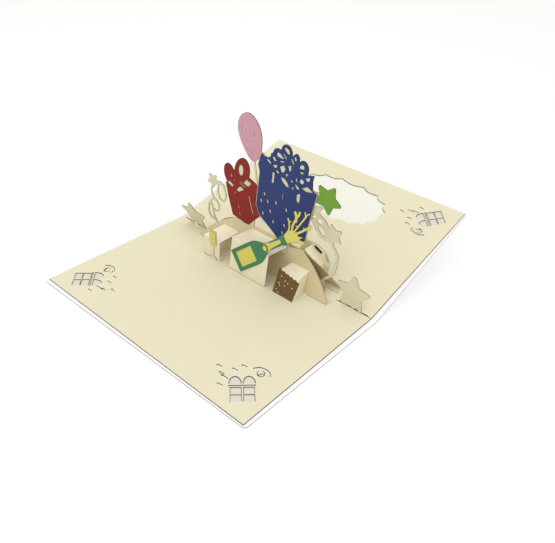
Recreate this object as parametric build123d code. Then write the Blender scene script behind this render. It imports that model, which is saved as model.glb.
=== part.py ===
from build123d import *
import math
import os

# An open greeting card with a folded pop-up inside, in millimetres.
# While it is built, Y runs along the fold, X across it and Z up. The fold of the inner sheet
# lies on the Y axis, the left panel (X below 0) is level and the right panel rises from the fold.
# Standing pieces are drawn in front views: u runs to the right seen from the left panel, v up.

# Card sheets
card_length = 150.0          # along the fold
panel_width = 99.0           # from the fold to the outer edge
opening_rise = 14.8          # degrees by which the right panel is raised from level
liner_thickness = 0.3
cover_thickness = 0.4

# The outer cover shows past the inner sheet by these margins
cover_margin_left_far = 2.2
cover_margin_left_near = 0.9
cover_margin_right = 0.8
cover_margin_far = 0.8
cover_margin_near_left = 1.8
cover_margin_near_fold = 3.2
cover_margin_near_right = 0.9
cover_corner_radius = 2.0

# Papers of the pop-up
card_paper = 0.3
colour_paper = 0.2
glue_tab = 4.0
speck_radius = 0.5

# Short slits that perforate the fold between the pop-up and each end
fold_slit_length = 3.4
fold_slit_width = 0.5
fold_slit_pitch = 5.2
fold_slit_count = 4
fold_slit_inset = 20.0       # from each end of the fold to the first slit

# Scalloped message window in the right panel
window_centre = 69.0         # from the fold
window_half_width = 18.4
window_half_length = 34.6
window_squareness = 2.4
window_scallops = 16
window_scallop_depth = 1.1

# Gift ornament cut through each corner of the inner sheet
ornament_inset = 9.5
ornament_half_width = 5.6
ornament_body_height = 8.6
ornament_bar = 1.0
ornament_lid_gap = 0.7
ornament_lid_slot = 0.6
ornament_loop_width = 5.6
ornament_loop_height = 4.6

# The ridged tent that carries the pop-up
tent_reach = 8.0             # from the fold to each foot
tent_height = 20.5
tent_half_length = 51.0
tent_ridge_half_length = 24.5
tent_shoulder_u = 39.5
tent_shoulder_v = 11.8

# Boxes folded off the front of the tent
box_reach = 19.8             # from the fold to the front walls
glass_box_height = 13.0
glass_box_left = -33.5
glass_box_right = -20.3
bottle_box_left = -12.5
bottle_box_right = 15.5
bottle_box_height = 20.0
bottle_box_back_height = 18.3
bottle_box_lean = 2.5
cake_box_left = 21.2
cake_box_right = 36.0
cake_box_height = 11.8
cake_box_lean = 6.6
cake_box_taper = 9.0         # degrees by which its side wall turns in towards the tent

# Stemmed glass on the left box
glass_u = -25.6
glass_bowl_low = 8.6
glass_bowl_high = 18.5
glass_bowl_half_width = 3.1
glass_foot_half_width = 3.6
glass_foot_height = 1.9
glass_stem_width = 1.4
glass_rim = 0.8              # cream left around the drink

# Bottle on the middle box, lying along its own axis
bottle_turn = 41.0           # degrees of that axis above level
bottle_foot_u = -7.4
bottle_foot_v = 6.5
bottle_length = 42.8
bottle_body_length = 17.0
bottle_shoulder_length = 13.8
bottle_body_half = 6.8
bottle_neck_half = 2.3
bottle_ring_length = 3.2
bottle_ring_half = 2.8
spray_root_u = 0.09843       # from the middle of the mouth to the root of the spray
spray_root_v = 0.42067

# Brown front of the cake
cake_paper_margin = 0.3
cake_waves = 5
cake_wave_depth = 0.7
cake_rise_left = 0.7         # how far its left corner stands up past the fold of the box
cake_drop_right = 1.6        # how far below that fold its right corner stays
cake_overhang = 1.3          # of that left corner past the side of the box

# Upright sheet in the middle and what it carries
keel_inset = 32.0            # from each end of the fold to the end of the keel
keel_half_length = card_length / 2 - keel_inset
keel_height = 8.0
foot_lap = 1.0               # how far the streamers' feet run into the keel
red_post_left = -21.0
red_post_right = -11.0
blue_post_left = 6.0
blue_post_right = 16.0
backing_rim = 0.5            # cream edge left around the blue paper
string_width = 1.4
ribbon_width = 1.2           # of the left streamer
tail_width = 1.7             # of the right streamer
ridge_gap = 0.3              # between the upright sheet and the ridge
ridge_band = 4.6             # height of the notch that makes it

# Fronts of the sheets stacked in the middle, along X
red_paper_front = -(card_paper + colour_paper)
blue_backing_front = red_paper_front - card_paper

# Stars
end_star_radius = 11.0
right_star_inset = 13.8      # from the near end of the fold to the middle of the star
left_star_inset = 15.5       # the same at the far end
left_star_lean = 22.0        # degrees towards the left panel
green_star_radius = 8.5
green_star_u = 38.7
green_star_v = 57.7
green_star_turn = -26.0
left_small_star_radius = 4.9
right_small_star_radius = 6.1
star_waist = 0.6             # inner radius as a share of the outer
star_tip_half_angle = 4.0    # degrees, so that each tip is blunt

# Gift on the back of the tent
rear_gift_near = 35.5
rear_gift_far = 17.5
rear_gift_face = 8.0
rear_gift_eaves = 12.0
rear_gift_apex = 21.6
rear_gift_top = 22.6
rear_gift_foot = 3.0         # height at which its strip ends on the tent's back

reach_past = 5.0             # how far a cutting tool runs past the sheet that it cuts


# Small helpers

def cos_deg(angle):
    return math.cos(math.radians(angle))


def sin_deg(angle):
    return math.sin(math.radians(angle))


def on_right_panel(distance, height=0.0):
    # X and Z of a point at a distance from the fold along the raised right panel.
    x = distance * cos_deg(opening_rise) - height * sin_deg(opening_rise)
    z = distance * sin_deg(opening_rise) + height * cos_deg(opening_rise)
    return (x, z)


def raise_right(shape):
    # Turns a shape drawn on the level about the fold onto the right panel.
    return Rot(0, -opening_rise, 0) * shape


def front_view(x):
    # Upright plane across X: its x axis is u and its normal faces the left panel.
    return Plane(origin=(x, 0, 0), x_dir=(0, -1, 0), z_dir=(-1, 0, 0))


def sheet_on(plane, sketch, thickness):
    # Flat sheet that lies on a plane and is thick along its normal.
    return extrude(plane * sketch, amount=thickness, dir=plane.z_dir)


def standing(sketch, back_x, thickness):
    # Upright sheet whose back face lies at back_x and which is thick towards the left panel.
    return sheet_on(front_view(back_x), sketch, thickness)


def folded_section(points, thickness):
    # Closed section of a strip folded through the points, its thickness on the right-hand side.
    count = len(points)
    directions = []
    for (x0, z0), (x1, z1) in zip(points[:-1], points[1:]):
        run = math.hypot(x1 - x0, z1 - z0)
        directions.append(((x1 - x0) / run, (z1 - z0) / run))
    inner = []
    for index, (x, z) in enumerate(points):
        before = directions[max(index - 1, 0)]
        after = directions[min(index, count - 2)]
        normal = (before[1] + after[1], -before[0] - after[0])
        scale = 2.0 / (normal[0] ** 2 + normal[1] ** 2)
        inner.append((x + normal[0] * scale * thickness, z + normal[1] * scale * thickness))
    return Polygon(*points, *reversed(inner), align=None)


def folded_strip(points, thickness, y_low, y_high):
    # Strip with that section, running along the fold from y_low to y_high.
    return sheet_on(Plane.XZ.offset(-y_high), folded_section(points, thickness), y_high - y_low)


def dash(length, width, x, y, angle=0.0):
    # Short straight cut centred on a point.
    return Pos(x, y) * Rot(0, 0, angle) * Rectangle(length, width)


def speck(x, y):
    # Small six-sided hole.
    return Pos(x, y) * RegularPolygon(speck_radius, 6)


def leaf(*points):
    # Small shape with straight sides between its points.
    return make_face(Polyline(*points, close=True))


def ellipse_ring(x, y, x_radius, y_radius, band, angle=0.0):
    ring = Ellipse(x_radius, y_radius) - Ellipse(x_radius - band, y_radius - band)
    return Pos(x, y) * Rot(0, 0, angle) * ring


def star(radius, x, y, turn=0.0):
    # Stout five-pointed star with blunt tips, one of them straight up where the turn is 0.
    corners = []
    for index in range(5):
        tip = 90 + turn + 72 * index
        for angle in (tip - star_tip_half_angle, tip + star_tip_half_angle):
            corners.append((radius * cos_deg(angle), radius * sin_deg(angle)))
        waist = radius * star_waist
        corners.append((waist * cos_deg(tip + 36), waist * sin_deg(tip + 36)))
    return Pos(x, y) * Polygon(*corners, align=None)


def closed_spline(points):
    return make_face(Spline(*points, periodic=True))


def widened(outline, rim):
    # Straight-sided outline grown all round.
    return offset(outline, rim, kind=Kind.INTERSECTION)


# Outer cover and inner sheet

def cover_outline():
    near = -card_length / 2
    far = card_length / 2 + cover_margin_far
    left = -panel_width
    right = (panel_width + cover_margin_right) * cos_deg(opening_rise)
    outline = Polygon(
        (0, near - cover_margin_near_fold),
        (right, near - cover_margin_near_right),
        (right, far),
        (left - cover_margin_left_far, far),
        (left - cover_margin_left_near, near - cover_margin_near_left),
        align=None,
    )
    corners = outline.vertices().sort_by(Axis.X)
    return fillet([*corners[:2], *corners[-2:]], cover_corner_radius)


def make_outer_cover():
    depth = liner_thickness
    reach = panel_width + reach_past
    rise = math.radians(opening_rise) / 2
    points = [
        (-reach, -depth),
        (depth * math.tan(rise), -depth),
        on_right_panel(reach, -depth),
    ]
    length = card_length + 4 * reach_past
    sheet = folded_strip(points, cover_thickness, -length / 2, length / 2)
    height = reach * sin_deg(opening_rise) + reach_past
    keep = sheet_on(Plane.XY.offset(-reach_past), cover_outline(), height + reach_past)
    return sheet & keep


def window_outline():
    # Scallops between cusps that lie on a squared-off ellipse and point outwards.
    step = 2 * math.pi / window_scallops

    def on_oval(angle, inset):
        power = 2.0 / window_squareness
        across = math.copysign(abs(math.cos(angle)) ** power, math.cos(angle))
        along = math.copysign(abs(math.sin(angle)) ** power, math.sin(angle))
        return (
            window_centre + (window_half_width - inset) * across,
            (window_half_length - inset) * along,
        )

    sides = []
    for index in range(window_scallops):
        start = (index - 0.5) * step
        sides.append(ThreePointArc(
            on_oval(start, 0),
            on_oval(start + step / 2, window_scallop_depth),
            on_oval(start + step, 0),
        ))
    return make_face(Curve() + sides)


def ornament():
    # Gift box with a bow and confetti, its base at the origin and its bow along +Y.
    half_bar = ornament_bar / 2
    pane_width = ornament_half_width - half_bar
    pane_height = (ornament_body_height - half_bar) / 2
    lid_level = ornament_body_height + ornament_lid_gap + ornament_lid_slot / 2
    bow_level = lid_level + ornament_lid_slot + ornament_lid_gap
    shapes = Sketch()
    for side in (-1, 1):
        middle = side * (half_bar + pane_width / 2)
        shapes += Pos(middle, pane_height / 2) * Rectangle(pane_width, pane_height)
        shapes += Pos(middle, ornament_body_height - pane_height / 2) * Rectangle(pane_width, pane_height)
        loop = Ellipse(ornament_loop_width / 2, ornament_loop_height)
        loop &= Pos(0, ornament_loop_height / 2) * Rectangle(ornament_loop_width, ornament_loop_height)
        shapes += Pos(side * (ornament_loop_width / 2 + half_bar), bow_level) * loop
    shapes += dash(2 * ornament_half_width + 1.2, ornament_lid_slot, 0, lid_level)
    return shapes + confetti()


def confetti():
    # Loose ticks, and one curl of ribbon beside the bow.
    tick = 2.8
    pieces = Sketch()
    ticks = ((-10.6, 22.8, -30), (-9.6, 17.8, -42), (-10.4, 10.6, -38), (1.3, 22.2, -30), (-3.2, 20.0, -40))
    for x, y, angle in ticks:
        pieces += dash(tick, 0.8, x, y, angle)
    pieces += dash(tick + 1.2, 0.9, -8.2, 15.2, -45)
    curl = ThreePointArc((5.6, 20.2), (10.6, 20.0), (13.0, 15.0))
    return pieces + trace(curl, 0.8) + dash(tick, 0.8, 8.6, 16.2, 20)


def corner_ornament(x_side, y_side):
    # The ornament in one corner of a level panel, turned towards the middle of the card.
    x = x_side * (panel_width - ornament_inset)
    y = y_side * (card_length / 2 - ornament_inset)
    turn = math.degrees(math.atan2(-y_side, -x_side)) - 90
    drawing = ornament()
    if x_side != y_side:
        drawing = mirror(drawing, Plane.YZ)
    return Pos(x, y) * Rot(0, 0, turn) * drawing


def fold_slits():
    slits = Sketch()
    for index in range(fold_slit_count):
        for side in (-1, 1):
            y = side * (card_length / 2 - fold_slit_inset + index * fold_slit_pitch)
            slits += dash(fold_slit_width, fold_slit_length, 0, y)
    return slits


def make_inner_sheet():
    points = [(-panel_width, 0), (0, 0), on_right_panel(panel_width)]
    sheet = folded_strip(points, liner_thickness, -card_length / 2, card_length / 2)
    below = Plane.XY.offset(-reach_past)
    left_cuts = corner_ornament(-1, -1) + corner_ornament(-1, 1)
    right_cuts = corner_ornament(1, -1) + corner_ornament(1, 1) + window_outline()
    sheet -= sheet_on(below, left_cuts, 2 * reach_past)
    sheet -= raise_right(sheet_on(below, right_cuts, 2 * reach_past))
    sheet -= sheet_on(below, fold_slits(), 2 * reach_past)
    return sheet


# Tent and the boxes folded off it

def tent_front_x(height):
    # X of the tent's front face at a height.
    return -tent_reach * (1 - height / tent_height)


def tent_back_x(height):
    foot_x, foot_z = on_right_panel(tent_reach)
    return foot_x * (tent_height - height) / (tent_height - foot_z)


def tent_outline():
    # Front view of the tent: a level ridge with rounded shoulders down to the feet.
    lines = []
    for side in (-1, 1):
        lines.append(ThreePointArc(
            (side * tent_half_length, 0),
            (side * tent_shoulder_u, tent_shoulder_v),
            (side * tent_ridge_half_length, tent_height),
        ))
    lines.append(Line((-tent_ridge_half_length, tent_height), (tent_ridge_half_length, tent_height)))
    lines.append(Line((-tent_half_length, 0), (tent_half_length, 0)))
    return make_face(Curve() + lines)


def make_tent():
    points = [
        (-tent_reach + glue_tab, 0),
        (-tent_reach, 0),
        (0, tent_height),
        on_right_panel(tent_reach),
        on_right_panel(tent_reach - glue_tab),
    ]
    tent = folded_strip(points, card_paper, -tent_half_length, tent_half_length)
    keep_depth = 2 * tent_reach + 2 * reach_past
    tent &= standing(tent_outline(), keep_depth / 2, keep_depth)
    tent -= ridge_slot(red_post_left, red_post_right, red_paper_front)
    tent -= ridge_slot(blue_post_left, blue_post_right, blue_backing_front)
    return tent


def ridge_slot(u_left, u_right, front_x):
    # Cut in the ridge for a post, from the back of the middle sheet to front_x.
    opening = Pos((u_left + u_right) / 2, tent_height) * Rectangle(u_right - u_left, 2 * reach_past)
    return standing(opening, 0, -front_x)


def box_strip(lean, height, back_height):
    # Foot tab, front wall, top and the tab that lies on the tent's front face.
    tab_low = back_height - glue_tab
    return [
        (-box_reach + glue_tab, 0),
        (-box_reach, 0),
        (-box_reach + lean, height),
        (tent_front_x(back_height), back_height),
        (tent_front_x(tab_low), tab_low),
    ]


def make_glass_box():
    points = box_strip(0.0, glass_box_height, glass_box_height)
    return folded_strip(points, card_paper, -glass_box_right, -glass_box_left)


def make_bottle_box():
    points = box_strip(bottle_box_lean, bottle_box_height, bottle_box_back_height)
    return folded_strip(points, card_paper, -bottle_box_right, -bottle_box_left)


def make_cake_box():
    # Strip with its right end cut on a slant, and a side wall along that cut.
    points = box_strip(cake_box_lean, cake_box_height, cake_box_height)
    turn = cake_box_taper
    side_plane = Plane(
        origin=(-box_reach, -cake_box_right, 0),
        x_dir=(cos_deg(turn), sin_deg(turn), 0),
        z_dir=(sin_deg(turn), -cos_deg(turn), 0),
    )
    slip = card_paper * sin_deg(turn)
    (front_x, low), (top_x, high), (back_x, back_high) = points[1:4]
    corners = (
        (front_x + slip, low), (top_x + slip, high), (back_x, back_high), (tent_front_x(0), low))
    side = leaf(*[((x + box_reach) / cos_deg(turn), z) for x, z in corners])
    box = folded_strip(points, card_paper, -cake_box_right, -cake_box_left)
    box -= sheet_on(side_plane, Rectangle(4 * box_reach, 4 * box_reach), box_reach)
    return box + sheet_on(side_plane.offset(-card_paper), side, card_paper)


def wall_plane(lean, height, offset_out=0.0):
    # Plane of a box's front wall: origin at its foot, x axis along u, normal outwards.
    length = math.hypot(lean, height)
    normal = (-height / length, 0, lean / length)
    origin = (-box_reach + normal[0] * offset_out, 0, normal[2] * offset_out)
    return Plane(origin=origin, x_dir=(0, -1, 0), z_dir=normal)


# Cake, glass and bottle on the front walls

def make_cake_paper():
    # Brown front with a wavy icing edge and small round holes.
    low = cake_paper_margin
    left = cake_box_left + cake_paper_margin
    right = cake_box_right - cake_paper_margin
    wall_height = math.hypot(cake_box_lean, cake_box_height)
    wave = (right - left) / cake_waves
    edge_left = wall_height + cake_rise_left
    edge_right = wall_height - cake_drop_right
    drop = (edge_left - edge_right) / cake_waves
    lines = []
    for index in range(cake_waves):
        start = (left + index * wave, edge_left - index * drop)
        end = (left + (index + 1) * wave, edge_left - (index + 1) * drop)
        dip = ((start[0] + end[0]) / 2, (start[1] + end[1]) / 2 - cake_wave_depth)
        lines.append(ThreePointArc(start, dip, end))
    corner = (left - cake_overhang, edge_left - cake_wave_depth / 2)
    lines.append(Polyline((right, edge_right), (right, low), (left, low), corner, (left, edge_left)))
    front = make_face(Curve() + lines)
    crumbs = (
        (0.14, 0.78), (0.13, 0.47), (0.20, 0.40), (0.42, 0.47), (0.52, 0.62),
        (0.78, 0.52), (0.12, 0.20), (0.24, 0.10), (0.36, 0.66),
    )
    for across, up in crumbs:
        front -= speck(left + across * (right - left), up * wall_height)
    return sheet_on(wall_plane(cake_box_lean, cake_box_height), front, colour_paper)


def glass_bowl(rim):
    top = glass_bowl_high + rim
    half = glass_bowl_half_width + rim
    low = glass_bowl_low - rim
    shoulder = low + 4.2
    lines = Curve() + [
        Polyline((-half, shoulder), (-half + 0.3, top), (half - 0.3, top), (half, shoulder)),
        ThreePointArc((half, shoulder), (half * 0.62, low + 1.3), (0, low)),
        ThreePointArc((0, low), (-half * 0.62, low + 1.3), (-half, shoulder)),
    ]
    return Pos(glass_u, 0) * make_face(lines)


def make_glass():
    stem = Pos(glass_u, glass_bowl_low / 2) * Rectangle(glass_stem_width, glass_bowl_low + glass_rim)
    foot = Pos(glass_u, 0) * Ellipse(glass_foot_half_width, glass_foot_height)
    sheet = glass_bowl(glass_rim) + stem + foot
    sheet &= Pos(glass_u, card_length / 2) * Rectangle(card_length, card_length)
    return sheet_on(wall_plane(0, glass_box_height), sheet, card_paper)


def make_drink():
    return sheet_on(wall_plane(0, glass_box_height, card_paper), glass_bowl(0), colour_paper)


def bottle_frame(drawing):
    # Places a drawing made with the bottle lying along +X from its foot at the origin.
    return Pos(bottle_foot_u, bottle_foot_v) * Rot(0, 0, bottle_turn) * drawing


def bottle_outline():
    body = bottle_body_length
    neck = body + bottle_shoulder_length
    ring = bottle_length - bottle_ring_length
    lines = Curve()
    for side in (-1, 1):
        lines += Polyline((0, 0), (0, side * bottle_body_half), (body, side * bottle_body_half))
        lines += Spline(
            (body, side * bottle_body_half),
            (neck, side * bottle_neck_half),
            tangents=((1, 0), (1, 0)),
        )
        lines += Polyline(
            (neck, side * bottle_neck_half),
            (ring, side * bottle_neck_half),
            (ring, side * bottle_ring_half),
            (bottle_length, side * bottle_ring_half),
            (bottle_length, 0),
        )
    return make_face(lines)


def make_bottle_paper():
    # Green bottle with windows for the label, the neck and a round seal.
    label_low = 2.8
    label_high = 16.4
    label_half = 4.7
    neck_low = 26.2
    neck_high = bottle_length - bottle_ring_length - colour_paper
    label = Pos((label_low + label_high) / 2, 0) * Rectangle(label_high - label_low, 2 * label_half)
    neck = Polygon(
        (neck_low, -3.0), (neck_low + 5.0, -1.5), (neck_high, -1.0),
        (neck_high, 1.2), (neck_low + 5.0, 1.7), (neck_low, 3.0),
        align=None,
    )
    neck -= Pos(neck_low, 0) * Circle(2.2)
    seal = Pos(neck_low - 0.2, 0) * Circle(1.6)
    sheet = bottle_frame(bottle_outline() - label - neck - seal)
    return sheet_on(wall_plane(bottle_box_lean, bottle_box_height, colour_paper), sheet, colour_paper)


def splash():
    # Spray from the bottle's mouth: a small cloud with forked, crooked arms, drawn from its root.
    cloud = leaf(
        (-2.5, -1.0), (-1.1, 2.2), (0.4, 4.9), (2.9, 6.2), (6.4, 6.4), (8.0, 4.8),
        (10.9, 5.6), (8.8, 3.2), (12.8, 3.3), (11.8, 1.4), (8.0, 1.2), (3.4, -1.0), (0.0, -3.0),
    )
    arms = (
        ((1.0, 4.5), (1.4, 7.9), (-0.4, 12.0), 1.2),
        ((0.8, 9.3), (1.2, 10.6), (2.2, 10.9), 0.8),
        ((3.6, 5.5), (3.5, 9.4), (4.6, 12.6), 1.5),
        ((4.5, 11.6), (4.9, 14.6), (3.2, 17.2), 1.9),
        ((4.8, 14.4), (6.2, 16.0), (6.4, 18.4), 1.4),
        ((4.6, 5.8), (7.6, 11.2), (11.0, 17.6), 1.1),
        ((10.7, 16.8), (10.2, 18.0), (9.8, 19.6), 0.9),
        ((10.8, 17.0), (11.4, 18.4), (12.8, 19.4), 0.9),
        ((6.8, 9.6), (6.2, 9.9), (5.4, 9.6), 0.8),
        ((6.0, 5.4), (10.2, 8.9), (14.9, 13.7), 1.4),
        ((11.2, 9.6), (10.8, 10.4), (10.2, 11.0), 0.8),
        ((12.6, 11.2), (13.6, 11.4), (14.8, 11.0), 0.9),
    )
    mouth_u = bottle_foot_u + bottle_length * cos_deg(bottle_turn)
    mouth_v = bottle_foot_v + bottle_length * sin_deg(bottle_turn)
    spray = cloud
    for start, middle, end, width in arms:
        spray += trace(ThreePointArc(start, middle, end), width)
    return Pos(mouth_u + spray_root_u, mouth_v + spray_root_v) * spray


def make_bottle_backing():
    # Gold paper behind the bottle, which runs on past its mouth as the spray.
    sheet = bottle_frame(bottle_outline()) + splash()
    return sheet_on(wall_plane(bottle_box_lean, bottle_box_height), sheet, colour_paper)


# Upright middle sheet, gifts and balloon

def red_outline():
    # Gift drawn from above one corner, with a two-looped bow.
    box = Polygon(
        (-34.4, 40.6), (-32.4, 32.3), (-28.5, 20.9), (-15.8, 19.0), (-4.8, 31.0), (-7.0, 46.6),
        (-16.6, 50.2), (-27.0, 46.0),
        align=None,
    )
    left_loop = Pos(-31.4, 46.8) * Rot(0, 0, 14) * Ellipse(4.4, 6.6)
    right_loop = Pos(-21.6, 51.6) * Rot(0, 0, -14) * Ellipse(5.7, 8.9)
    return box + left_loop + right_loop


def red_holes():
    holes = Pos(-22.3, 52.4) * Rot(0, 0, -4) * Ellipse(1.8, 3.4)
    holes += leaf((-31.4, 47.8), (-30.0, 47.2), (-28.9, 45.2), (-29.8, 45.4))
    holes += leaf((-33.2, 40.9), (-31.2, 42.4), (-27.9, 40.6), (-29.4, 39.4))
    holes += leaf((-20.4, 45.0), (-17.9, 48.0), (-14.1, 46.9), (-16.6, 43.9))
    holes += leaf((-25.8, 38.6), (-22.8, 42.0), (-19.6, 41.0), (-23.9, 38.0))
    holes += speck(-27.7, 44.4) + speck(-26.6, 36.7)
    holes += dash(4.6, 0.6, -20.6, 43.9, -38)
    holes += dash(4.2, 0.5, -21.9, 43.0, -38)
    holes += dash(11.2, 0.7, -14.1, 33.0, -71)
    holes += dash(2.6, 0.6, -23.9, 28.3, -66)
    holes += dash(2.4, 0.6, -22.9, 23.8, -70)
    return holes


def make_red_paper():
    return standing(red_outline() - red_holes(), -card_paper, colour_paper)


def balloon_outline():
    # Egg shape with its narrow end down.
    return closed_spline([
        (-19.3, 87.2), (-23.9, 83.0), (-24.9, 76.8), (-22.6, 70.4), (-18.2, 64.2), (-13.4, 61.0),
        (-9.2, 64.0), (-7.2, 71.0), (-8.0, 79.4), (-12.6, 85.8),
    ])


def balloon_holes():
    holes = leaf((-22.2, 79.9), (-20.6, 78.6), (-20.6, 76.4), (-22.0, 75.2), (-21.4, 77.4))
    holes += dash(2.6, 0.7, -16.9, 73.1, 40)
    holes += dash(2.0, 0.5, -12.6, 76.8, 70)
    holes += dash(2.8, 0.7, -16.6, 68.4, 35)
    holes += dash(3.2, 0.7, -13.0, 66.9, 60)
    return holes


def make_balloon_paper():
    return standing(balloon_outline() - balloon_holes(), -card_paper, colour_paper)


def make_green_star_paper():
    sheet = star(green_star_radius, green_star_u, green_star_v, green_star_turn)
    return standing(sheet, -card_paper, colour_paper)


def left_streamer():
    # Curled ribbon with a small star at its top, left of the gifts.
    ribbon = ribbon_width
    shape = star(left_small_star_radius, -45.6, 37.2, 40)
    shape += ellipse_ring(-38.2, 31.6, 3.9, 6.0, ribbon, 8)
    shape += ellipse_ring(-44.0, 21.2, 3.9, 4.6, ribbon, 30)
    shape += trace(ThreePointArc((-44.8, 36.0), (-46.6, 28.4), (-43.6, 24.6)), ribbon)
    shape += trace(ThreePointArc((-43.6, 36.6), (-39.6, 38.2), (-35.8, 36.0)), ribbon)
    foot_v = keel_height - foot_lap
    outer_foot = (-keel_half_length + 2.0, foot_v)
    inner_foot = (-keel_half_length + 3.4, foot_v)
    shape += trace(Spline((-47.4, 23.0), (-49.8, 17.0), (-48.2, 12.0), (-43.6, 10.4), outer_foot), ribbon)
    shape += trace(ThreePointArc((-46.4, 17.6), (-44.4, 12.6), inner_foot), ribbon)
    return shape


def right_streamer():
    # Broad curl with three holes, a small star beside it and a tail down to the tent.
    curl = closed_spline([
        (28.8, 43.8), (28.9, 47.8), (31.6, 51.2), (36.4, 51.8), (34.6, 48.2), (38.6, 45.6),
        (41.4, 42.0), (44.4, 38.6), (42.6, 34.0), (37.6, 33.8), (32.6, 37.6),
    ])
    curl -= leaf((30.0, 43.7), (31.4, 43.3), (33.0, 44.8), (32.0, 45.6), (30.6, 45.2))
    curl -= leaf((33.6, 42.2), (35.4, 41.6), (37.2, 42.8), (36.8, 44.4), (34.8, 44.9), (33.5, 43.8))
    curl -= leaf((34.8, 40.6), (34.6, 39.0), (37.0, 36.2), (39.4, 35.6), (39.6, 37.0), (37.6, 39.8))
    shape = curl + star(right_small_star_radius, 44.6, 39.0, 20)
    end = keel_half_length
    foot = (end - 2.4, keel_height - 2 * foot_lap)
    tail = Spline(
        (44.6, 36.0), (45.0, 32.4), (end + 5.0, 28.6), (end + 5.4, 21.6), (end + 3.6, 14.0),
        (end - 0.6, 9.6), foot,
    )
    return shape + trace(tail, tail_width)


def make_middle_sheet():
    # One cream sheet: keel on the fold, two posts through the ridge, and all that stands on them.
    keel = Pos(0, keel_height / 2) * Rectangle(2 * keel_half_length, keel_height)
    post_top = tent_height + 2 * reach_past
    sheet = Sketch() + keel
    for left, right in ((red_post_left, red_post_right), (blue_post_left, blue_post_right)):
        sheet += Pos((left + right) / 2, post_top / 2) * Rectangle(right - left, post_top)
    sheet += Polygon(
        (-14, 30), (8, 22), (15, 22), (25, 29), (27, 47), (32, 55), (36, 60), (24, 58), (0, 56), (-12, 44),
        align=None,
    )
    sheet += red_outline()
    sheet += balloon_outline()
    sheet += star(green_star_radius, green_star_u, green_star_v, green_star_turn)
    string_low = (-9.6, 46.0)
    string_high = (-12.6, 62.0)
    sheet += trace(Line(string_low, string_high), string_width)
    sheet += left_streamer() + right_streamer()
    sheet -= below_ridge_clearance()
    return standing(sheet, 0, card_paper)


def below_ridge_clearance():
    # Keeps the middle sheet off the ridge between the two posts.
    clear = Sketch()
    middle = tent_height + ridge_gap - ridge_band / 2
    spans = (
        (-tent_ridge_half_length - 2.0, red_post_left),
        (red_post_right, blue_post_left),
        (blue_post_right, tent_ridge_half_length),
    )
    for left, right in spans:
        clear += Pos((left + right) / 2, middle) * Rectangle(right - left, ridge_band)
    return clear


def blue_box_outline():
    # Gift drawn from above one corner, its lid a little wider than its sides.
    return Polygon(
        (-6.8, 68.5), (-8.8, 61.3), (-7.6, 57.0), (-9.5, 36.0), (-7.5, 30.8), (11.1, 18.5), (26.9, 27.4),
        (28.3, 38.7), (32.2, 57.9), (29.3, 59.4), (22.0, 64.0), (8.0, 66.0), (-2.0, 66.0),
        align=None,
    )


# Loops round the top of the bow: centre u and v, half width, half height, turn in degrees
bow_loops = (
    (2.2, 68.4, 2.3, 3.0, 20), (6.2, 71.2, 4.7, 3.3, -22), (10.7, 74.4, 3.7, 4.3, 10),
    (17.0, 72.3, 2.3, 3.5, -10), (22.4, 69.6, 3.2, 4.0, 12),
)


def bow_outline():
    # Ruffled bow that stands over the lid, with a pointed leaf at each side.
    bow = leaf((-4.2, 67.2), (-1.6, 67.4), (0.3, 69.6), (4.0, 62.0), (-3.0, 62.0))
    bow += leaf((0.0, 62.0), (2.4, 70.2), (10.6, 74.6), (20.0, 72.0), (25.6, 67.6), (24.0, 60.0))
    bow += leaf((22.0, 65.2), (29.5, 67.9), (28.8, 64.0), (29.3, 58.0), (22.0, 58.0))
    for u, v, half_width, half_height, turn in bow_loops:
        bow += Pos(u, v) * Rot(0, 0, turn) * Ellipse(half_width, half_height)
    return bow


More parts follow.
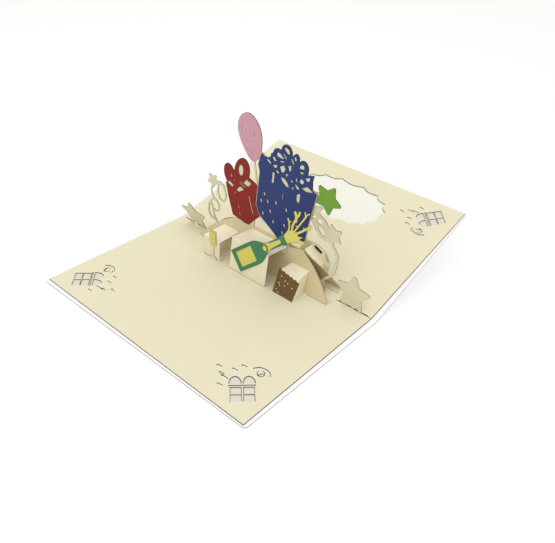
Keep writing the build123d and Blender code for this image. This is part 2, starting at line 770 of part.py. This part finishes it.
def bow_holes():
    # Eyes of the outer loops with the slits beside them, then the cuts round the knot.
    holes = leaf((-3.0, 66.6), (-1.5, 66.4), (0.6, 64.9), (-0.2, 64.3), (-2.1, 65.1))
    holes += leaf((1.1, 69.0), (2.6, 69.2), (4.0, 67.4), (2.6, 66.8), (1.7, 67.7))
    holes += leaf((4.5, 72.5), (6.2, 72.5), (7.9, 71.2), (9.4, 70.1), (7.7, 69.9), (4.7, 70.1), (4.0, 71.1))
    holes += leaf((8.2, 73.0), (8.9, 73.2), (10.9, 71.0), (10.3, 70.3))
    holes += leaf((6.1, 68.1), (8.1, 68.7), (9.9, 68.5), (7.4, 67.6))
    holes += leaf((8.8, 76.6), (10.5, 76.9), (12.2, 76.1), (12.8, 74.0), (11.6, 73.6), (10.0, 74.8))
    holes += leaf((13.6, 71.9), (14.4, 72.1), (16.0, 69.7), (15.2, 69.2))
    holes += leaf((15.9, 73.7), (16.8, 73.9), (17.5, 72.7), (17.1, 71.2), (16.2, 72.0))
    holes += leaf((19.5, 68.6), (20.3, 70.6), (21.4, 71.3), (22.7, 70.7), (22.8, 68.9), (21.5, 68.6))
    holes += leaf((19.8, 66.6), (21.7, 67.2), (23.1, 66.7), (21.2, 65.8))
    holes += leaf((1.6, 64.3), (4.4, 65.3), (4.5, 63.6), (2.8, 63.0))
    holes += leaf((3.7, 62.1), (5.2, 62.2), (6.6, 60.9), (4.9, 60.5))
    holes += leaf((6.5, 65.1), (10.0, 66.8), (9.6, 65.6), (10.5, 65.0), (9.2, 62.1), (7.4, 62.5))
    holes += leaf((12.1, 67.2), (14.6, 68.4), (13.8, 66.8), (14.5, 66.2), (13.3, 64.1), (12.6, 65.7))
    holes += leaf((10.6, 61.6), (11.5, 62.8), (12.3, 62.3), (11.4, 60.7))
    holes += leaf((7.2, 59.2), (9.9, 59.3), (12.0, 57.9), (13.6, 55.1), (11.5, 55.1), (9.0, 56.8))
    holes += leaf((14.1, 60.6), (16.0, 59.6), (15.1, 58.4))
    holes += leaf((17.7, 62.5), (18.5, 62.5), (18.7, 60.3), (17.9, 60.1))
    holes += leaf((20.2, 61.5), (21.4, 63.4), (23.5, 62.2), (22.4, 60.4), (21.1, 60.4))
    holes += leaf((23.9, 64.4), (27.0, 65.9), (26.9, 64.0), (25.4, 62.8))
    holes += leaf((17.0, 59.1), (20.1, 57.7), (20.3, 56.1), (18.3, 56.8))
    holes += leaf((15.4, 56.3), (16.5, 56.4), (16.6, 55.2), (15.7, 55.0))
    return holes


def blue_face_holes():
    # Ribbon slots and the corner of the lid, then short marks on the faces.
    holes = leaf((1.6, 60.2), (3.2, 60.0), (3.0, 58.2), (2.6, 53.7), (1.1, 53.7), (1.5, 57.2))
    holes += leaf((19.1, 53.3), (21.4, 54.5), (21.2, 49.4), (19.9, 48.6), (19.1, 49.6))
    holes += leaf((22.1, 58.0), (25.6, 60.2), (27.3, 59.5), (29.6, 58.1), (25.0, 57.1))
    holes += dash(4.6, 0.4, 9.5, 48.2, 86)
    marks = (
        (-3.6, 44.8), (-5.9, 39.8), (-1.0, 41.1), (5.0, 42.5), (-4.3, 32.1),
        (1.1, 35.6), (3.6, 29.7), (12.6, 41.0), (11.8, 30.9), (10.6, 25.6),
    )
    for u, v in marks:
        holes += dash(2.0, 1.0, u, v, -72)
    return holes


def make_blue_paper():
    sheet = blue_box_outline() + bow_outline() - bow_holes() - blue_face_holes()
    return standing(sheet, blue_backing_front, colour_paper)


def make_blue_backing():
    sheet = widened(blue_box_outline(), backing_rim) + bow_outline()
    return standing(sheet, red_paper_front, card_paper)


# Stars at the ends of the fold

def end_star_sketch():
    # Stands on two points at v = 0.
    return star(end_star_radius, 0, end_star_radius * sin_deg(54 + star_tip_half_angle))


def make_right_star():
    middle = card_length / 2 - right_star_inset
    return standing(Pos(middle, 0) * end_star_sketch(), 0, card_paper)


def make_left_star():
    flat = standing(end_star_sketch(), 0, card_paper)
    lift = card_paper * sin_deg(left_star_lean)
    leaning = Rot(0, -left_star_lean, 0) * flat
    return Pos(0, card_length / 2 - left_star_inset, lift) * leaning


# Gift on the back of the tent

def rear_gift_outline(back_x):
    # Front view of the face, with its foot on the right panel at back_x.
    foot = back_x * math.tan(math.radians(opening_rise))
    return leaf(
        (rear_gift_far, foot), (rear_gift_near + 1.5, foot), (rear_gift_near + 4.0, 14.5),
        (rear_gift_near + 1.0, 19.4), (rear_gift_near - 5.0, rear_gift_top),
        (rear_gift_far + 4.5, rear_gift_top), (rear_gift_far, rear_gift_eaves + 3.0),
    )


def rear_gift_spacer():
    # Strip from the tent's back to the face: down the near slope of the gable, then upright.
    apex_u = (rear_gift_near + rear_gift_far) / 2
    apex = (-apex_u, rear_gift_apex)
    eaves = (-rear_gift_near, rear_gift_eaves)
    foot = (-rear_gift_near, 0)
    section = Plane.YZ * folded_section([foot, eaves, apex], card_paper)
    strip = extrude(section, amount=rear_gift_face, dir=(1, 0, 0))
    keep = Polygon(
        (card_paper, tent_height * 2), (card_paper, tent_height),
        (tent_back_x(rear_gift_foot) + card_paper, rear_gift_foot),
        (rear_gift_face, rear_gift_face * math.tan(math.radians(opening_rise))),
        (rear_gift_face, tent_height * 2),
        align=None,
    )
    return strip & sheet_on(Plane.XZ.offset(rear_gift_far - 1), keep, rear_gift_near)


def make_rear_gift():
    # Cream face with a slot and two nicks, and the strip that holds it off the tent.
    cuts = leaf((27.6, 20.9), (28.6, 21.6), (33.4, 19.3), (33.4, 18.3), (32.4, 17.6), (28.0, 19.7))
    cuts += dash(2.6, 0.6, 36.3, 17.7, -52) + dash(2.2, 0.6, 37.6, 15.6, -52)
    face = standing(rear_gift_outline(rear_gift_face) - cuts, rear_gift_face, card_paper)
    return face + rear_gift_spacer()


def make_rear_gift_paper():
    # Brown paper on the far side, just inside the edge of the cream face.
    back_x = rear_gift_face + colour_paper
    inset = offset(rear_gift_outline(back_x), -colour_paper, kind=Kind.INTERSECTION)
    return standing(inset, back_x, colour_paper)


def build_parts():
    return {
        "outer_cover": make_outer_cover(),
        "inner_sheet": make_inner_sheet(),
        "tent": make_tent(),
        "glass_box": make_glass_box(),
        "bottle_box": make_bottle_box(),
        "cake_box": make_cake_box(),
        "cake_paper": make_cake_paper(),
        "glass_sheet": make_glass(),
        "glass_drink": make_drink(),
        "bottle_gold_paper": make_bottle_backing(),
        "bottle_green_paper": make_bottle_paper(),
        "middle_sheet": make_middle_sheet(),
        "red_gift_paper": make_red_paper(),
        "balloon_paper": make_balloon_paper(),
        "green_star_paper": make_green_star_paper(),
        "blue_gift_sheet": make_blue_backing(),
        "blue_gift_paper": make_blue_paper(),
        "right_star": make_right_star(),
        "left_star": make_left_star(),
        "rear_gift": make_rear_gift(),
        "rear_gift_paper": make_rear_gift_paper(),
    }


def main():
    os.makedirs("parts", exist_ok=True)
    parts = build_parts()
    box = parts["outer_cover"].bounding_box()
    for name in parts:
        box = box.add(parts[name].bounding_box())
    move = Pos(-(box.min.X + box.max.X) / 2, -(box.min.Y + box.max.Y) / 2, -box.min.Z)
    for name, shape in parts.items():
        export_step(move * shape, f"parts/{name}.step")


main()
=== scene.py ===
import math
import bmesh
import bpy
from mathutils import Matrix, Vector
from mathutils.bvhtree import BVHTree


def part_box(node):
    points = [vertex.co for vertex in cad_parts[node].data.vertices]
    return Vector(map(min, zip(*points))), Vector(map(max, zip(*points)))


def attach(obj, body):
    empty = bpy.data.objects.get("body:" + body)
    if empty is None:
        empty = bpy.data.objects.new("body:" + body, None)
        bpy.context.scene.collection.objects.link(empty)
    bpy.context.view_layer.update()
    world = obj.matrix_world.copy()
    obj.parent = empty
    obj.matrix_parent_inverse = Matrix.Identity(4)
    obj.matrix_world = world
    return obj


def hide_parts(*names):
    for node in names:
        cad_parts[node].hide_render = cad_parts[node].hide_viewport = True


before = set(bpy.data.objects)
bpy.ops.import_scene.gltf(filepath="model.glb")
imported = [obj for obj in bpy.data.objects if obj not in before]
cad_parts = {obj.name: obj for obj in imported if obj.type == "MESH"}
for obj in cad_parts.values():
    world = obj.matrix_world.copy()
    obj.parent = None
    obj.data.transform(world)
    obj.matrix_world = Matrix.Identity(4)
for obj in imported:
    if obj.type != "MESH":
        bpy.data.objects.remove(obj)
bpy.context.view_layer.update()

MM = 0.001

# The fold of the card on the upper face of the inner sheet, in the row frame
inner_low, inner_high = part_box("inner_sheet")
star_low, star_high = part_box("right_star")
FOLD = Vector((star_high.x, (inner_low.y + inner_high.y) / 2, star_low.z))

# The two panels of the card
PANEL_WIDTH_MM = (FOLD.x - inner_low.x) / MM
HALF_LENGTH_MM = (inner_high.y - inner_low.y) / 2 / MM
OPENING_RISE = math.radians(14.8)      # of the right panel, from level
RIGHT_ACROSS = Vector((math.cos(OPENING_RISE), 0, math.sin(OPENING_RISE)))
RIGHT_NORMAL = Vector((-math.sin(OPENING_RISE), 0, math.cos(OPENING_RISE)))

# Cut edges of the sheets
SHEET_LIMIT_MM = 0.45        # thicker than any sheet, thinner than any strip is wide
SEARCH_START_MM = 0.001      # inside a face, where the search for its other side starts
MERGE_MM = 0.0001            # corners nearer than this are one
RIM_MM = 0.06                # width of the darker line beside a cut edge
CUT_RIM_MM = 0.13            # the same on the papers with the boldest edges
LINER_RIM_MM = 0.3           # the same on the inner sheet, scorch and painted shadow together
# Painted shadow: on the inner sheet, only the cut edges that look this way, left and near, get the dark
# rim.
PAINTED_SHADOW_SIDE = Vector((-0.76, -0.65, 0))
LEAST_TOWARD = -0.15         # cosine above which an edge counts as looking that way

# Message window in the right panel
WINDOW_CENTRE_MM = 69.0      # from the fold
WINDOW_HALF_WIDTH_MM = 18.4
WINDOW_HALF_LENGTH_MM = 34.6
WINDOW_SQUARENESS = 2.4
WINDOW_SCALLOPS = 16
WINDOW_EDGE_LIMIT = 1.02     # just past the window's own edge, which is at 1
EXTRA_SCALLOP_MM = 1.2       # how much deeper the cut curls in between its points

# The stemmed glass, slimmer than its solids by this factor
GLASS_SLIMNESS = 0.8

# Painted shade: where the white cover shows through the cream sheet, it takes the darker tone it has in
# the shade there
WINDOW_PAINTED_SHADE = (229, 231, 225)
WINDOW_REACH = 1.25          # times the window's half sizes
ORNAMENT_PAINTED_SHADE = (213, 210, 202)
ORNAMENT_FROM_EDGE_MM = 16.0
ORNAMENT_FROM_END_MM = 13.0
ORNAMENT_REACH_MM = 11.0

# The curl of each corner ornament goes on inwards as a small ring
ORNAMENT_INSET_MM = 9.5
RING_MIDDLE_MM = (9.0, 17.0)           # from the foot of the ornament
RING_RADIUS_MM = 1.9
RING_LINE_MM = 0.4
RING_STEPS = 9
RING_START = math.radians(120)
RING_TURN = math.radians(300)

# Dark lines along the fold and at the feet of the pop-up, on the left panel: painted shadow in the fold
# and where the walls stand on the card.
# A span runs from one distance to another, to the right of the middle as seen from that panel.
LINE_LIFT_MM = 0.03          # above the card
FOLD_LINE_MM = 0.5
FOLD_LINE_X_MM = -0.2
RIGHT_FOLD_SPANS_MM = ((51.6, 56.4), (57.2, 61.0), (61.8, 66.4), (67.2, 74.6))
LEFT_FOLD_SPANS_MM = ((-51.6, -55.0), (-56.0, -60.0), (-66.0, -70.0))
FOOT_LINE_MM = 0.22
TENT_FOOT_X_MM = -8.3
TENT_FOOT_SPANS_MM = ((37.0, 50.6),)
BOX_FOOT_X_MM = -20.1
BOX_FOOT_SPANS_MM = ((-12.3, 15.3), (-33.3, -20.5))

# Floor and light
FLOOR_SIZE_M = 6.0
FLOOR_DROP_M = 0.0002        # below the card, so that the two don't share a face
FLOOR_GLOW = 0.75
SKY_COLOUR = (1.0, 0.95, 0.84, 1.0)
SKY_STRENGTH = 0.78
LAMP_COLOUR = (0.95, 0.97, 1.0)
LAMP_TARGET_MM = (0, 0, 20)

# Camera, placed from the fold
PHOTO_WIDTH = 555            # pixels
LENS_PIXELS = 602.5          # focal length in pixels of the photograph
SENSOR_MM = 36.0
CAMERA_MM = (-225.22, -192.01, 206.03)
CAMERA_AZIMUTH = math.radians(-50.791)
CAMERA_ELEVATION = math.radians(35.722)
CAMERA_ROLL = math.radians(3.334)


def from_fold(x, y, z):
    """A point given in millimetres from the middle of the fold."""
    return FOLD + Vector((x, y, z)) * MM


# Shader nodes

def feed(tree, socket, value):
    """Join an output to a socket, or set the socket to a value."""
    if isinstance(value, bpy.types.NodeSocket):
        tree.links.new(value, socket)
    else:
        socket.default_value = value


def calculate(tree, operation, *values):
    """The output of a math node."""
    node = tree.nodes.new("ShaderNodeMath")
    node.operation = operation
    for socket, value in zip(node.inputs, values):
        feed(tree, socket, value)
    return node.outputs["Value"]


def calculate_vector(tree, operation, *values):
    """The output of a vector math node, a number for a length."""
    node = tree.nodes.new("ShaderNodeVectorMath")
    node.operation = operation
    for socket, value in zip(node.inputs, values):
        feed(tree, socket, value)
    return node.outputs["Value" if operation == "LENGTH" else "Vector"]


def noise(tree, place, scale, detail):
    node = tree.nodes.new("ShaderNodeTexNoise")
    feed(tree, node.inputs["Scale"], scale)
    feed(tree, node.inputs["Detail"], detail)
    feed(tree, node.inputs["Vector"], place)
    return node.outputs["Fac"]


def mix_colours(tree, share, first, second):
    node = tree.nodes.new("ShaderNodeMix")
    node.data_type = "RGBA"
    feed(tree, node.inputs["Factor"], share)
    feed(tree, node.inputs["A"], first)
    feed(tree, node.inputs["B"], second)
    return node.outputs["Result"]


def mix_shaders(tree, share, first, second):
    node = tree.nodes.new("ShaderNodeMixShader")
    feed(tree, node.inputs["Fac"], share)
    feed(tree, node.inputs[1], first)
    feed(tree, node.inputs[2], second)
    return node.outputs["Shader"]


# Materials

def linear(value):
    value /= 255
    return value / 12.92 if value <= 0.04045 else ((value + 0.055) / 1.055) ** 2.4


def colour(red, green, blue):
    return (linear(red), linear(green), linear(blue), 1.0)


def scaled(rgba, factor):
    return tuple(min(1.0, channel * factor) for channel in rgba[:3]) + (1.0,)


def paper(name, rgb, mottle=0.06):
    """Uncoated card: cloudy tone, fine fibres in colour and in relief."""
    material = bpy.data.materials.new(name)
    material.use_nodes = True
    tree = material.node_tree
    shader = tree.nodes["Principled BSDF"]
    feed(tree, shader.inputs["Roughness"], 0.85)
    feed(tree, shader.inputs["Specular IOR Level"], 0.2)
    place = tree.nodes.new("ShaderNodeTexCoord").outputs["Object"]
    cloud = noise(tree, place, scale=45.0, detail=3.0)
    fibre = noise(tree, place, scale=1800.0, detail=4.0)

    half_fibre = calculate(tree, "MULTIPLY", fibre, 0.5)
    blend = calculate(tree, "MULTIPLY_ADD", cloud, 0.5, half_fibre)
    base = colour(*rgb)
    tone = mix_colours(tree, blend, scaled(base, 1 - mottle), scaled(base, 1 + mottle))
    feed(tree, shader.inputs["Base Color"], tone)

    relief = tree.nodes.new("ShaderNodeBump")
    feed(tree, relief.inputs["Strength"], 0.25)
    feed(tree, relief.inputs["Distance"], 0.04 * MM)
    feed(tree, relief.inputs["Height"], fibre)
    feed(tree, shader.inputs["Normal"], relief.outputs["Normal"])
    return material


def painted_shade_patch(material, across_mm, along_mm, half_width_mm, half_length_mm, rgb):
    """Painted shade: another tone on the upper side of a card, inside an oval seen from above."""
    tree = material.node_tree
    base = tree.nodes["Principled BSDF"].inputs["Base Color"]
    outside = base.links[0].from_socket
    surface = tree.nodes.new("ShaderNodeNewGeometry")
    middle = from_fold(across_mm, along_mm, 0)
    sizes = (1 / (half_width_mm * MM), 1 / (half_length_mm * MM), 0)
    offset = calculate_vector(tree, "SUBTRACT", surface.outputs["Position"], middle)
    share = calculate_vector(tree, "MULTIPLY", offset, sizes)
    inside = calculate(tree, "LESS_THAN", calculate_vector(tree, "LENGTH", share), 1.0)
    facing = tree.nodes.new("ShaderNodeSeparateXYZ")
    feed(tree, facing.inputs["Vector"], surface.outputs["True Normal"])
    upper = calculate(tree, "GREATER_THAN", facing.outputs["Z"], 0.0)
    both = calculate(tree, "MULTIPLY", inside, upper)
    feed(tree, base, mix_colours(tree, both, outside, colour(*rgb)))


CREAM = paper("cream card", (220, 216, 192))
# The same cream card in two more tones: darker on the tent, as painted shade on its steep front, and
# lighter on the folded boxes, as painted light on their tops.
CREAM_SHADED = paper("cream card of the tent with painted shade", (214, 203, 166))
CREAM_PAINTED_LIGHT = paper("cream card of the folded boxes with painted light", (237, 231, 208))
# A darker cream on the cut edges of the boxes and the tent, and on a narrow rim beside them.
CREAM_DARKER_EDGE = paper("darker cream card edge", (176, 160, 122), mottle=0.15)
# Scorched cut edges. On the inner sheet this tone also stands for painted shadow under its edges.
CREAM_SCORCH_AND_SHADOW = paper("scorched cream edge and painted shadow", (80, 68, 50), mottle=0.25)
WHITE = paper("white card", (242, 240, 247), mottle=0.02)
WHITE_EDGE = paper("white card edge", (150, 144, 146), mottle=0.1)
RED = paper("red card", (142, 48, 46))
RED_EDGE = paper("scorched red edge", (62, 18, 16), mottle=0.2)
PINK = paper("pink card", (207, 157, 177))
PINK_EDGE = paper("scorched pink edge", (88, 62, 64), mottle=0.2)
BLUE = paper("blue card", (53, 69, 125))
BLUE_EDGE = paper("scorched blue edge", (26, 26, 48), mottle=0.2)
LEAF = paper("leaf green card", (120, 166, 68))
LEAF_EDGE = paper("scorched leaf green edge", (58, 78, 34), mottle=0.2)
BOTTLE = paper("bottle green card", (70, 134, 98))
BOTTLE_EDGE = paper("scorched bottle green edge", (34, 60, 40), mottle=0.2)
YELLOW = paper("yellow card", (216, 210, 114))
YELLOW_EDGE = paper("scorched yellow edge", (104, 88, 40), mottle=0.2)
BROWN = paper("brown card", (108, 84, 52))
# Scorched edges of the brown paper. On the rear gift's whole face it is painted shade.
BROWN_SCORCH_AND_SHADE = paper("scorched brown edge and painted shade", (52, 38, 24), mottle=0.2)
# Scorch for the ornament rings. The same tone is painted shadow along the fold and at the feet of the
# pop-up.
SCORCH_AND_SHADOW = paper("scorched line and painted shadow", (84, 72, 56), mottle=0.3)

# Painted shade on the white cover under the message window and under the corner ornaments
painted_shade_patch(
    WHITE, WINDOW_CENTRE_MM * RIGHT_ACROSS.x, 0, WINDOW_HALF_WIDTH_MM * RIGHT_ACROSS.x * WINDOW_REACH,
    WINDOW_HALF_LENGTH_MM * WINDOW_REACH, WINDOW_PAINTED_SHADE)
ornament_across = PANEL_WIDTH_MM - ORNAMENT_FROM_EDGE_MM
ornament_along = HALF_LENGTH_MM - ORNAMENT_FROM_END_MM
for across in (-ornament_across, ornament_across * RIGHT_ACROSS.x):
    for along in (-ornament_along, ornament_along):
        painted_shade_patch(WHITE, across, along, ORNAMENT_REACH_MM, ORNAMENT_REACH_MM, ORNAMENT_PAINTED_SHADE)


# Sheets

def on_broad_side(polygon, tree):
    """True where the sheet is thin straight behind the face, so not on a cut edge."""
    start = polygon.calc_center_median() - polygon.normal * SEARCH_START_MM * MM
    hit = tree.ray_cast(start, -polygon.normal, SHEET_LIMIT_MM * MM)
    return hit[0] is not None


def toward(polygon, rim_faces, direction):
    """True where the cut edge beside a rim face looks along the direction."""
    for side in polygon.edges:
        for beside in side.link_faces:
            if beside.material_index == 1 and beside not in rim_faces:
                return beside.normal.dot(direction) > LEAST_TOWARD
    return False


def bare_copy(node):
    """A copy of a CAD node without its materials or its marks."""
    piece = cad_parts[node].copy()
    piece.data = piece.data.copy()
    piece.name = f"{node}_card"
    for key in list(piece.keys()):
        del piece[key]
    piece.parent = None
    piece.data.materials.clear()
    bpy.context.scene.collection.objects.link(piece)
    return piece


def dressed(node, face, edge, rim_mm=RIM_MM, shadow_rim_side=None, reshape=None):
    """A copy of the sheet whose cut edges, and a narrow rim beside them, are a darker tone."""
    piece = bare_copy(node)
    piece.data.materials.append(face)
    piece.data.materials.append(edge)
    mesh = bmesh.new()
    mesh.from_mesh(piece.data)
    bmesh.ops.remove_doubles(mesh, verts=mesh.verts, dist=MERGE_MM * MM)
    mesh.normal_update()
    tree = BVHTree.FromBMesh(mesh)
    broad_sides = []
    for polygon in mesh.faces:
        polygon.smooth = False
        polygon.material_index = 1
        if on_broad_side(polygon, tree):
            polygon.material_index = 0
            broad_sides.append(polygon)
    if reshape:
        reshape(mesh, piece.matrix_world)
        mesh.normal_update()
    rim = bmesh.ops.inset_region(mesh, faces=broad_sides, thickness=rim_mm * MM)
    rim_faces = set(rim["faces"])
    for polygon in rim_faces:
        dark = shadow_rim_side is None or toward(polygon, rim_faces, shadow_rim_side)
        polygon.material_index = 1 if dark else 0
    mesh.to_mesh(piece.data)
    mesh.free()
    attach(piece, "root")
    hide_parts(node)
    return piece


def window_place(point):
    """Distances in millimetres across and along the window, from its middle."""
    offset = (point - FOLD) / MM
    return offset.dot(RIGHT_ACROSS) - WINDOW_CENTRE_MM, offset.y


def deepen_scallops(mesh, place):
    """Moves the window's edge inwards, most of all midway between the points of its scallops."""
    back = place.inverted().to_3x3()
    half_power = WINDOW_SQUARENESS / 2
    for vertex in mesh.verts:
        across, along = window_place(place @ vertex.co)
        wide = abs(across) / WINDOW_HALF_WIDTH_MM
        tall = abs(along) / WINDOW_HALF_LENGTH_MM
        if wide ** WINDOW_SQUARENESS + tall ** WINDOW_SQUARENESS > WINDOW_EDGE_LIMIT:
            continue
        angle = math.atan2(
            math.copysign(tall ** half_power, along), math.copysign(wide ** half_power, across))
        phase = angle / (2 * math.pi / WINDOW_SCALLOPS) + 0.5
        share = 4 * (phase % 1.0) * (1 - phase % 1.0)
        distance = math.hypot(across, along)
        inward = RIGHT_ACROSS * (-across / distance) + Vector((0, -along / distance, 0))
        vertex.co += back @ (inward * share * EXTRA_SCALLOP_MM * MM)


drink_low, drink_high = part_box("glass_drink")


def slim_glass(mesh, place):
    """Draws the glass in towards its own middle."""
    middle = (drink_low.y + drink_high.y) / 2
    back = place.inverted()
    for vertex in mesh.verts:
        point = place @ vertex.co
        point.y = middle + (point.y - middle) * GLASS_SLIMNESS
        vertex.co = back @ point


dressed("outer_cover", WHITE, WHITE_EDGE)
# The inner sheet's wide dark rim on its left and near edges is painted shadow under them, laid over their
# scorch.
dressed("inner_sheet", CREAM, CREAM_SCORCH_AND_SHADOW, LINER_RIM_MM, PAINTED_SHADOW_SIDE, deepen_scallops)
# The boxes and the glass sheet take the cream with painted light, and the tent takes the cream with
# painted shade.
for box_node in ("glass_box", "bottle_box", "cake_box", "rear_gift"):
    dressed(box_node, CREAM_PAINTED_LIGHT, CREAM_DARKER_EDGE)
dressed("tent", CREAM_SHADED, CREAM_DARKER_EDGE)
for cut_node in ("middle_sheet", "left_star", "right_star", "blue_gift_sheet"):
    dressed(cut_node, CREAM, CREAM_SCORCH_AND_SHADOW)
dressed("glass_sheet", CREAM_PAINTED_LIGHT, CREAM_SCORCH_AND_SHADOW, reshape=slim_glass)
dressed("red_gift_paper", RED, RED_EDGE, CUT_RIM_MM)
dressed("balloon_paper", PINK, PINK_EDGE)
dressed("green_star_paper", LEAF, LEAF_EDGE)
dressed("blue_gift_paper", BLUE, BLUE_EDGE, CUT_RIM_MM)
dressed("cake_paper", BROWN, BROWN_SCORCH_AND_SHADE)
# The rear gift's brown paper takes the dark edge tone on its faces too: painted shade on the paper that
# stands behind the tent.
dressed("rear_gift_paper", BROWN_SCORCH_AND_SHADE, BROWN_SCORCH_AND_SHADE)
dressed("glass_drink", YELLOW, YELLOW_EDGE, reshape=slim_glass)
dressed("bottle_gold_paper", YELLOW, YELLOW_EDGE, CUT_RIM_MM)
dressed("bottle_green_paper", BOTTLE, BOTTLE_EDGE, CUT_RIM_MM)


# Thin dark lines on the panels: scorched rings, and painted shadow along the fold and at the feet of the
# pop-up

def above_card(point):
    """A place just above the card, from its distances across and along a panel."""
    if point.x <= 0:
        return from_fold(point.x, point.y, LINE_LIFT_MM)
    place = RIGHT_ACROSS * point.x + RIGHT_NORMAL * LINE_LIFT_MM
    return from_fold(place.x, point.y, place.z)


def flat_lines(name, lines, width_mm):
    """Ribbons that lie on the panels, each given by its two ends."""
    mesh = bmesh.new()
    for start, end in lines:
        side = (end - start).normalized().cross(Vector((0, 0, 1))) * width_mm / 2
        corners = [start + side, end + side, end - side, start - side]
        mesh.faces.new([mesh.verts.new(above_card(corner)) for corner in corners])
    mesh.normal_update()
    for polygon in mesh.faces:
        if polygon.normal.z < 0:
            polygon.normal_flip()
    data = bpy.data.meshes.new(name)
    mesh.to_mesh(data)
    mesh.free()
    data.materials.append(SCORCH_AND_SHADOW)
    piece = bpy.data.objects.new(name, data)
    bpy.context.scene.collection.objects.link(piece)
    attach(piece, "root")
    return piece


def ring_lines(x_side, y_side):
    """The sides of the ring in one corner, turned as that corner's ornament is."""
    turn = math.atan2(-y_side, -x_side) - math.pi / 2
    mirrored = -1 if x_side != y_side else 1
    foot_x = x_side * (PANEL_WIDTH_MM - ORNAMENT_INSET_MM)
    foot_y = y_side * (HALF_LENGTH_MM - ORNAMENT_INSET_MM)
    places = []
    for step in range(RING_STEPS + 1):
        angle = RING_START + RING_TURN * step / RING_STEPS
        x = mirrored * (RING_MIDDLE_MM[0] + RING_RADIUS_MM * math.cos(angle))
        y = RING_MIDDLE_MM[1] + RING_RADIUS_MM * math.sin(angle)
        across = foot_x + x * math.cos(turn) - y * math.sin(turn)
        along = foot_y + x * math.sin(turn) + y * math.cos(turn)
        places.append(Vector((across, along, 0)))
    return list(zip(places, places[1:]))


def fold_side_lines(x, spans):
    """Lines along the fold on the left panel, at one distance from the fold."""
    return [(Vector((x, -start, 0)), Vector((x, -end, 0))) for start, end in spans]


rings = [line for x_side in (-1, 1) for y_side in (-1, 1) for line in ring_lines(x_side, y_side)]
fold_shadow_lines = fold_side_lines(FOLD_LINE_X_MM, RIGHT_FOLD_SPANS_MM + LEFT_FOLD_SPANS_MM)
tent_foot_lines = fold_side_lines(TENT_FOOT_X_MM, TENT_FOOT_SPANS_MM)
box_foot_lines = fold_side_lines(BOX_FOOT_X_MM, BOX_FOOT_SPANS_MM)
flat_lines("ornament_rings", rings, RING_LINE_MM)
# Painted shadow along the fold and at the feet of the pop-up
flat_lines("fold_shadow_lines", fold_shadow_lines, FOLD_LINE_MM)
flat_lines("foot_lines", tent_foot_lines + box_foot_lines, FOOT_LINE_MM)


# Floor, light and camera

def make_floor():
    """A pale floor that partly glows for the camera alone, so that it looks white but keeps the shadow."""
    bpy.ops.mesh.primitive_plane_add(size=FLOOR_SIZE_M, location=(0, 0, -FLOOR_DROP_M))
    floor = bpy.context.object
    floor.name = "floor"
    material = bpy.data.materials.new("pale floor")
    material.use_nodes = True
    tree = material.node_tree
    shader = tree.nodes["Principled BSDF"]
    feed(tree, shader.inputs["Base Color"], (0.95, 0.95, 0.95, 1.0))
    feed(tree, shader.inputs["Roughness"], 0.9)
    glow = tree.nodes.new("ShaderNodeEmission")
    feed(tree, glow.inputs["Strength"], 1.0)
    path = tree.nodes.new("ShaderNodeLightPath")
    share = calculate(tree, "MULTIPLY", path.outputs["Is Camera Ray"], FLOOR_GLOW)
    mixed = mix_shaders(tree, share, shader.outputs["BSDF"], glow.outputs["Emission"])
    feed(tree, tree.nodes["Material Output"].inputs["Surface"], mixed)
    floor.data.materials.append(material)


def make_world():
    """A warm sky that lights the card, white where the camera sees it."""
    world = bpy.data.worlds.new("studio")
    bpy.context.scene.world = world
    world.use_nodes = True
    tree = world.node_tree
    sky = tree.nodes["Background"]
    feed(tree, sky.inputs["Color"], SKY_COLOUR)
    feed(tree, sky.inputs["Strength"], SKY_STRENGTH)
    white = tree.nodes.new("ShaderNodeBackground")
    feed(tree, white.inputs["Strength"], 1.0)
    path = tree.nodes.new("ShaderNodeLightPath")
    seen = calculate(tree, "MAXIMUM", path.outputs["Is Camera Ray"], path.outputs["Is Glossy Ray"])
    mixed = mix_shaders(tree, seen, sky.outputs["Background"], white.outputs["Background"])
    feed(tree, tree.nodes["World Output"].inputs["Surface"], mixed)


def make_lamp(name, position_mm, size_m, watts):
    lamp = bpy.data.lights.new(name, "AREA")
    lamp.size = size_m
    lamp.color = LAMP_COLOUR
    lamp.energy = watts
    holder = bpy.data.objects.new(name, lamp)
    holder.location = from_fold(*position_mm)
    aim = from_fold(*LAMP_TARGET_MM) - holder.location
    holder.rotation_mode = "QUATERNION"
    holder.rotation_quaternion = aim.to_track_quat("-Z", "Y")
    bpy.context.scene.collection.objects.link(holder)


def make_camera():
    back = Vector((
        math.sin(CAMERA_AZIMUTH) * math.cos(CAMERA_ELEVATION),
        -math.cos(CAMERA_AZIMUTH) * math.cos(CAMERA_ELEVATION),
        math.sin(CAMERA_ELEVATION),
    ))
    level = Vector((math.cos(CAMERA_AZIMUTH), math.sin(CAMERA_AZIMUTH), 0))
    upward = back.cross(level)
    right = math.cos(CAMERA_ROLL) * level + math.sin(CAMERA_ROLL) * upward
    up = math.cos(CAMERA_ROLL) * upward - math.sin(CAMERA_ROLL) * level
    camera = bpy.data.objects.new("camera", bpy.data.cameras.new("camera"))
    camera.data.sensor_width = SENSOR_MM
    camera.data.lens = LENS_PIXELS / PHOTO_WIDTH * SENSOR_MM
    camera.data.clip_start = 0.01
    camera.data.clip_end = 20.0
    turn = Matrix((right, up, back)).transposed().to_4x4()
    camera.matrix_world = Matrix.Translation(from_fold(*CAMERA_MM)) @ turn
    bpy.context.scene.collection.objects.link(camera)
    bpy.context.scene.camera = camera


make_floor()
make_world()
make_lamp("key", (-250, -80, 900), size_m=0.8, watts=3.1)
make_lamp("back", (350, 280, 850), size_m=0.7, watts=1.8)
make_camera()
bpy.context.scene.view_settings.view_transform = "Standard"
